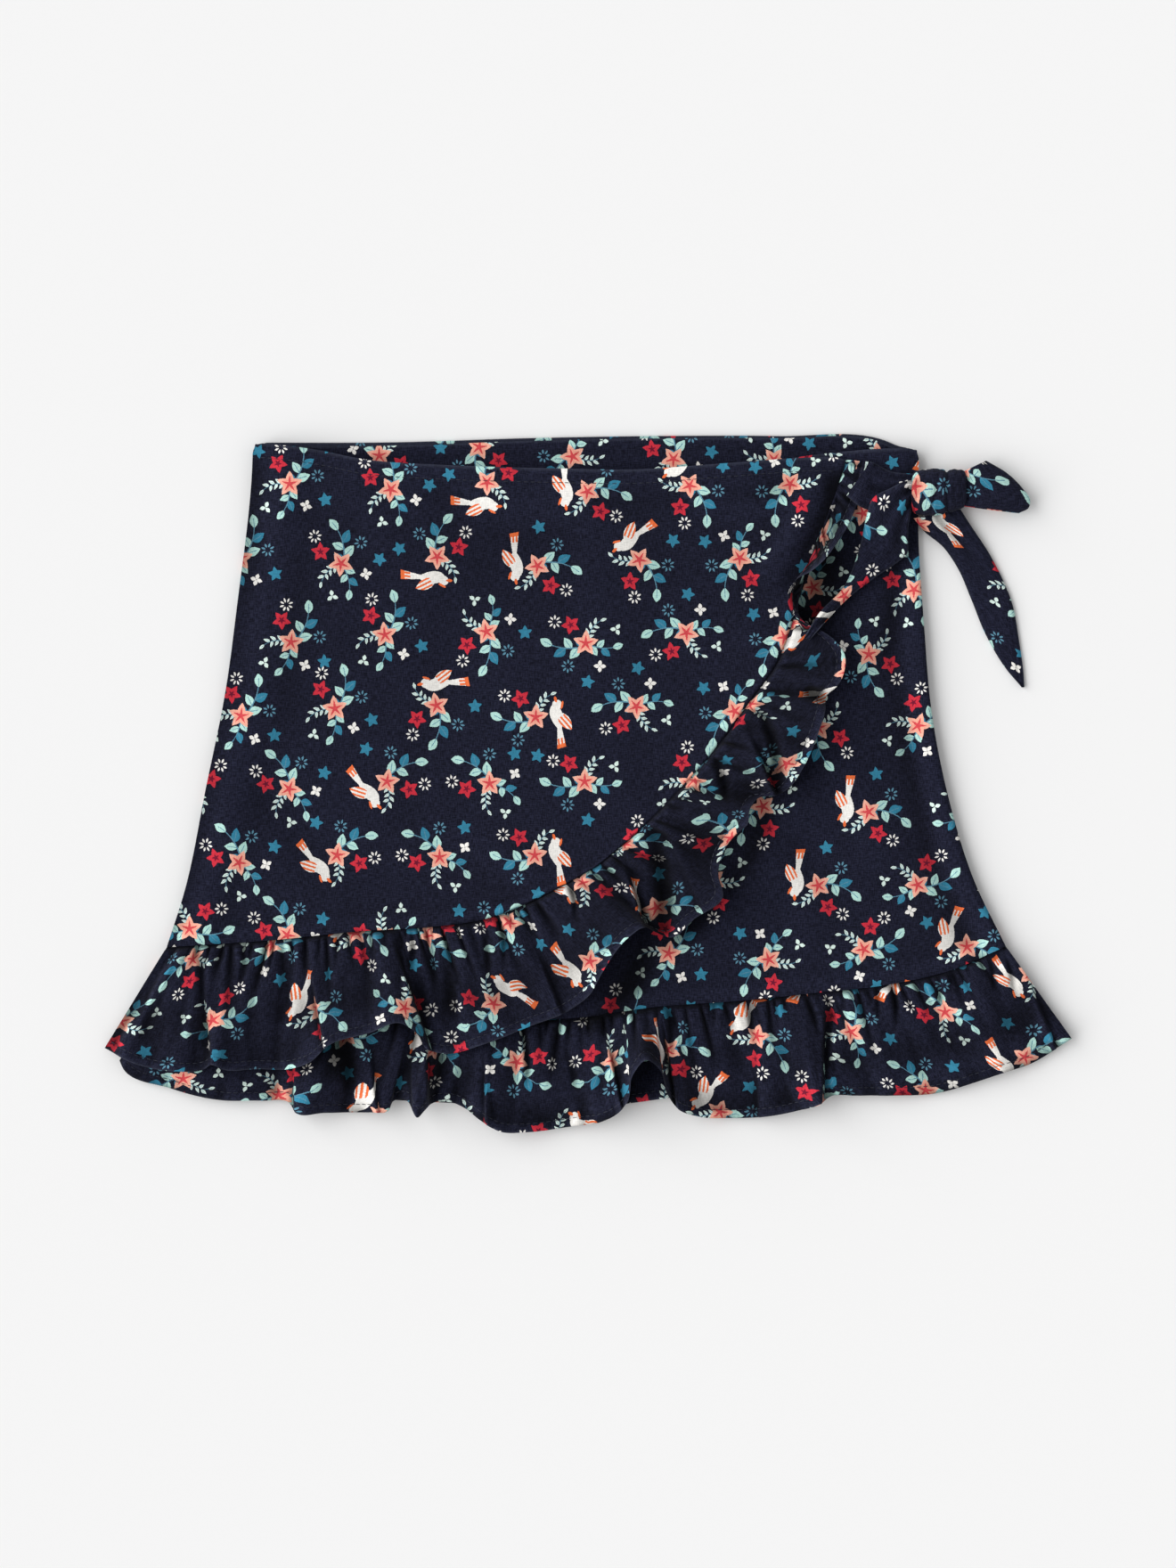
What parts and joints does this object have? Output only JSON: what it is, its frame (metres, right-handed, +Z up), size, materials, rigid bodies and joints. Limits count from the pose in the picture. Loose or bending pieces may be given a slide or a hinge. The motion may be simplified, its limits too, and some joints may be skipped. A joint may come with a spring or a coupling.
{
  "type": "wrap skirt",
  "caption": "Child's wrap mini skirt in printed woven cotton with gathered ruffles on its hems and wrap edge, tied in a bow at one side, laid flat on its back",
  "frame": {"origin": "Centre of the laid skirt's outline, on the surface that it lies on.", "axes": "+X across the skirt towards the bow, which is the wearer's left side. +Y from the hem to the waist. +Z up from the surface, out of the front of the skirt. The longest extent is along X and the shortest along Z."},
  "size_m": [0.4064, 0.2936, 0.0187],
  "materials": {
    "printed_cotton": "plain-woven cotton in navy, printed with small flowers, leaves and birds in mint, coral, red, orange and white; matt",
    "cotton_inner_layers": "the same cotton on the layers under the front, of which only narrow strips show; matt"
  },
  "bodies": {
    "root": {"back_panel": "cotton_inner_layers", "back_ruffle": "cotton_inner_layers", "back_waist_facing": "printed_cotton", "under_front_panel": "printed_cotton", "under_front_ruffle": "printed_cotton", "over_front_panel": "printed_cotton", "wrap_ruffle": "printed_cotton", "over_tie_strap": "printed_cotton", "bow_knot": "printed_cotton", "bow_left_tail": "printed_cotton", "bow_right_tail": "printed_cotton", "bow_loop": "printed_cotton"}
  },
  "joints": []
}
